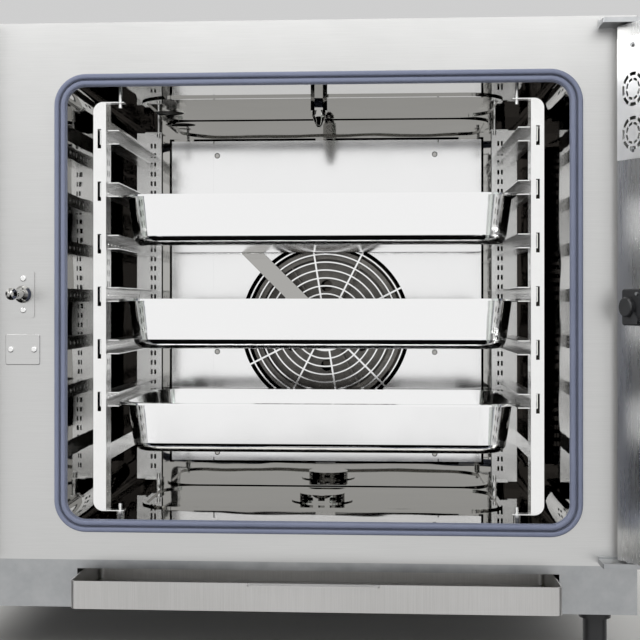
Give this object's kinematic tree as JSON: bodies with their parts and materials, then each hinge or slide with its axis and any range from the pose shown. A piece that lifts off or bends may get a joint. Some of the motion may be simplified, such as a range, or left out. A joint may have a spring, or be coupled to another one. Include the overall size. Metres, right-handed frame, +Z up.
{
  "type": "combi steamer oven",
  "caption": "Open-door combi steamer oven with side racks, gastronorm pans, fan baffle, hinged glazed door and control column.",
  "frame": {"origin": "centre of the four stand bolts on the underside of the base pan", "axes": "+X to the right seen from the front, +Y from the door into the oven, +Z up"},
  "size_m": [1.3608, 1.5106, 0.844],
  "materials": {
    "brushed_casing": "brushed stainless sheet",
    "polished_cavity": "mirror polished stainless steel",
    "satin_pan": "satin pressed stainless steel",
    "rack_steel": "electropolished stainless steel",
    "seal_silicone": "matt blue-grey silicone",
    "glass_clear": "clear toughened glass",
    "black_plastic": "moulded black plastic",
    "display_glass": "gloss black display",
    "mineral_wool": "mineral wool",
    "cast_motor": "painted cast aluminium",
    "lamp_white": "opal diffuser",
    "zinc_steel": "zinc plated steel",
    "brass_fitting": "turned brass"
  },
  "bodies": {
    "casing": {"base_pan": "zinc_steel", "left_side_panel": "brushed_casing", "right_side_panel": "brushed_casing", "top_panel": "brushed_casing", "back_panel": "zinc_steel", "front_frame": "brushed_casing", "control_fascia": "brushed_casing", "control_display": "display_glass", "cavity_shell": "polished_cavity", "insulation": "mineral_wool", "door_gasket": "seal_silicone", "striker_plate": "rack_steel", "striker_pin": "polished_cavity", "switch_cover": "rack_steel", "front_screws": "rack_steel", "rack_pegs": "rack_steel", "left_rack_frame": "rack_steel", "right_rack_frame": "rack_steel", "left_rack_rails": "rack_steel", "right_rack_rails": "rack_steel", "baffle_frame": "polished_cavity", "baffle_panel": "polished_cavity", "baffle_wings": "polished_cavity", "baffle_screws": "polished_cavity", "injection_channel": "polished_cavity", "heating_element": "rack_steel", "fan_motor": "cast_motor", "steam_nozzle": "polished_cavity", "drain_pipe": "rack_steel", "exhaust_stack": "brushed_casing", "water_inlets": "brass_fitting", "cable_gland": "black_plastic", "control_unit": "zinc_steel", "hinge_brackets": "zinc_steel", "feet": "black_plastic"},
    "door": {"door_shell": "brushed_casing", "door_glass": "glass_clear", "door_skin": "brushed_casing", "vent_plate": "brushed_casing", "door_lamps": "lamp_white", "catch_block": "black_plastic", "hinge_bushes": "zinc_steel"},
    "pane": {"inner_pane": "glass_clear", "pane_hinges": "rack_steel"},
    "catch": {"catch_knob": "black_plastic"},
    "handle": {"door_handle": "black_plastic", "latch_cam": "zinc_steel"},
    "fan": {"fan_wheel": "polished_cavity", "motor_shaft": "zinc_steel"},
    "pan_top": {"top_pan": "satin_pan"},
    "pan_middle": {"middle_pan": "satin_pan"},
    "pan_bottom": {"bottom_pan": "satin_pan"},
    "strainer": {"drain_strainer": "polished_cavity"},
    "tray": {"drip_tray": "brushed_casing"},
    "flap": {"exhaust_flap": "rack_steel"},
    "dial": {"selector_dial": "black_plastic"},
    "start_button": {"button_1": "black_plastic"},
    "mode_button": {"button_2": "black_plastic"},
    "light_button": {"button_3": "black_plastic"},
    "rocker": {"power_switch": "black_plastic"}
  },
  "joints": [
    {"name": "door_swing", "type": "hinge", "parent": "casing", "child": "door", "pos_m": [0.4485, -0.4088, 0.397], "axis": [0, 0, 1], "range_deg": [-118, 0]},
    {"name": "pane_swing", "type": "hinge", "parent": "door", "child": "pane", "pos_m": [0.77612, -1.05798, 0.385], "axis": [0, 0, 1], "range_deg": [0, 45]},
    {"name": "catch_turn", "type": "hinge", "parent": "door", "child": "catch", "pos_m": [0.44211, -0.43938, 0.38], "axis": [-0.8829, -0.4695, 0], "range_deg": [0, 90]},
    {"name": "handle_turn", "type": "hinge", "parent": "door", "child": "handle", "pos_m": [0.81749, -1.06656, 0.362], "axis": [0.8829, 0.4695, 0], "range_deg": [0, 70]},
    {"name": "fan_spin", "type": "hinge", "parent": "casing", "child": "fan", "pos_m": [0.0655, 0.005, 0.35], "axis": [0, -1, 0], "continuous": true},
    {"name": "top_pan_slide", "type": "slide", "parent": "casing", "child": "pan_top", "axis": [0, -1, 0], "range_m": [0, 0.3]},
    {"name": "middle_pan_slide", "type": "slide", "parent": "casing", "child": "pan_middle", "axis": [0, -1, 0], "range_m": [0, 0.3]},
    {"name": "bottom_pan_slide", "type": "slide", "parent": "casing", "child": "pan_bottom", "axis": [0, -1, 0], "range_m": [0, 0.3]},
    {"name": "strainer_lift", "type": "slide", "parent": "casing", "child": "strainer", "axis": [0, 0, 1], "range_m": [0, 0.04]},
    {"name": "tray_slide", "type": "slide", "parent": "casing", "child": "tray", "axis": [0, -1, 0], "range_m": [0, 0.1]},
    {"name": "flap_turn", "type": "hinge", "parent": "casing", "child": "flap", "pos_m": [-0.1645, -0.08, 0.705], "axis": [1, 0, 0], "range_deg": [0, 80]},
    {"name": "dial_turn", "type": "hinge", "parent": "casing", "child": "dial", "pos_m": [-0.4025, -0.41, 0.405], "axis": [0, -1, 0], "continuous": true},
    {"name": "start_press", "type": "slide", "parent": "casing", "child": "start_button", "axis": [0, 1, 0], "range_m": [0, 0.002], "stiffness_N_per_m": 500, "springref_m": -0.002},
    {"name": "mode_press", "type": "slide", "parent": "casing", "child": "mode_button", "axis": [0, 1, 0], "range_m": [0, 0.002], "stiffness_N_per_m": 500, "springref_m": -0.002},
    {"name": "light_press", "type": "slide", "parent": "casing", "child": "light_button", "axis": [0, 1, 0], "range_m": [0, 0.002], "stiffness_N_per_m": 500, "springref_m": -0.002},
    {"name": "rocker_tip", "type": "hinge", "parent": "casing", "child": "rocker", "pos_m": [-0.4025, -0.392, 0.15], "axis": [-1, 0, 0], "range_deg": [0, 12]}
  ]
}
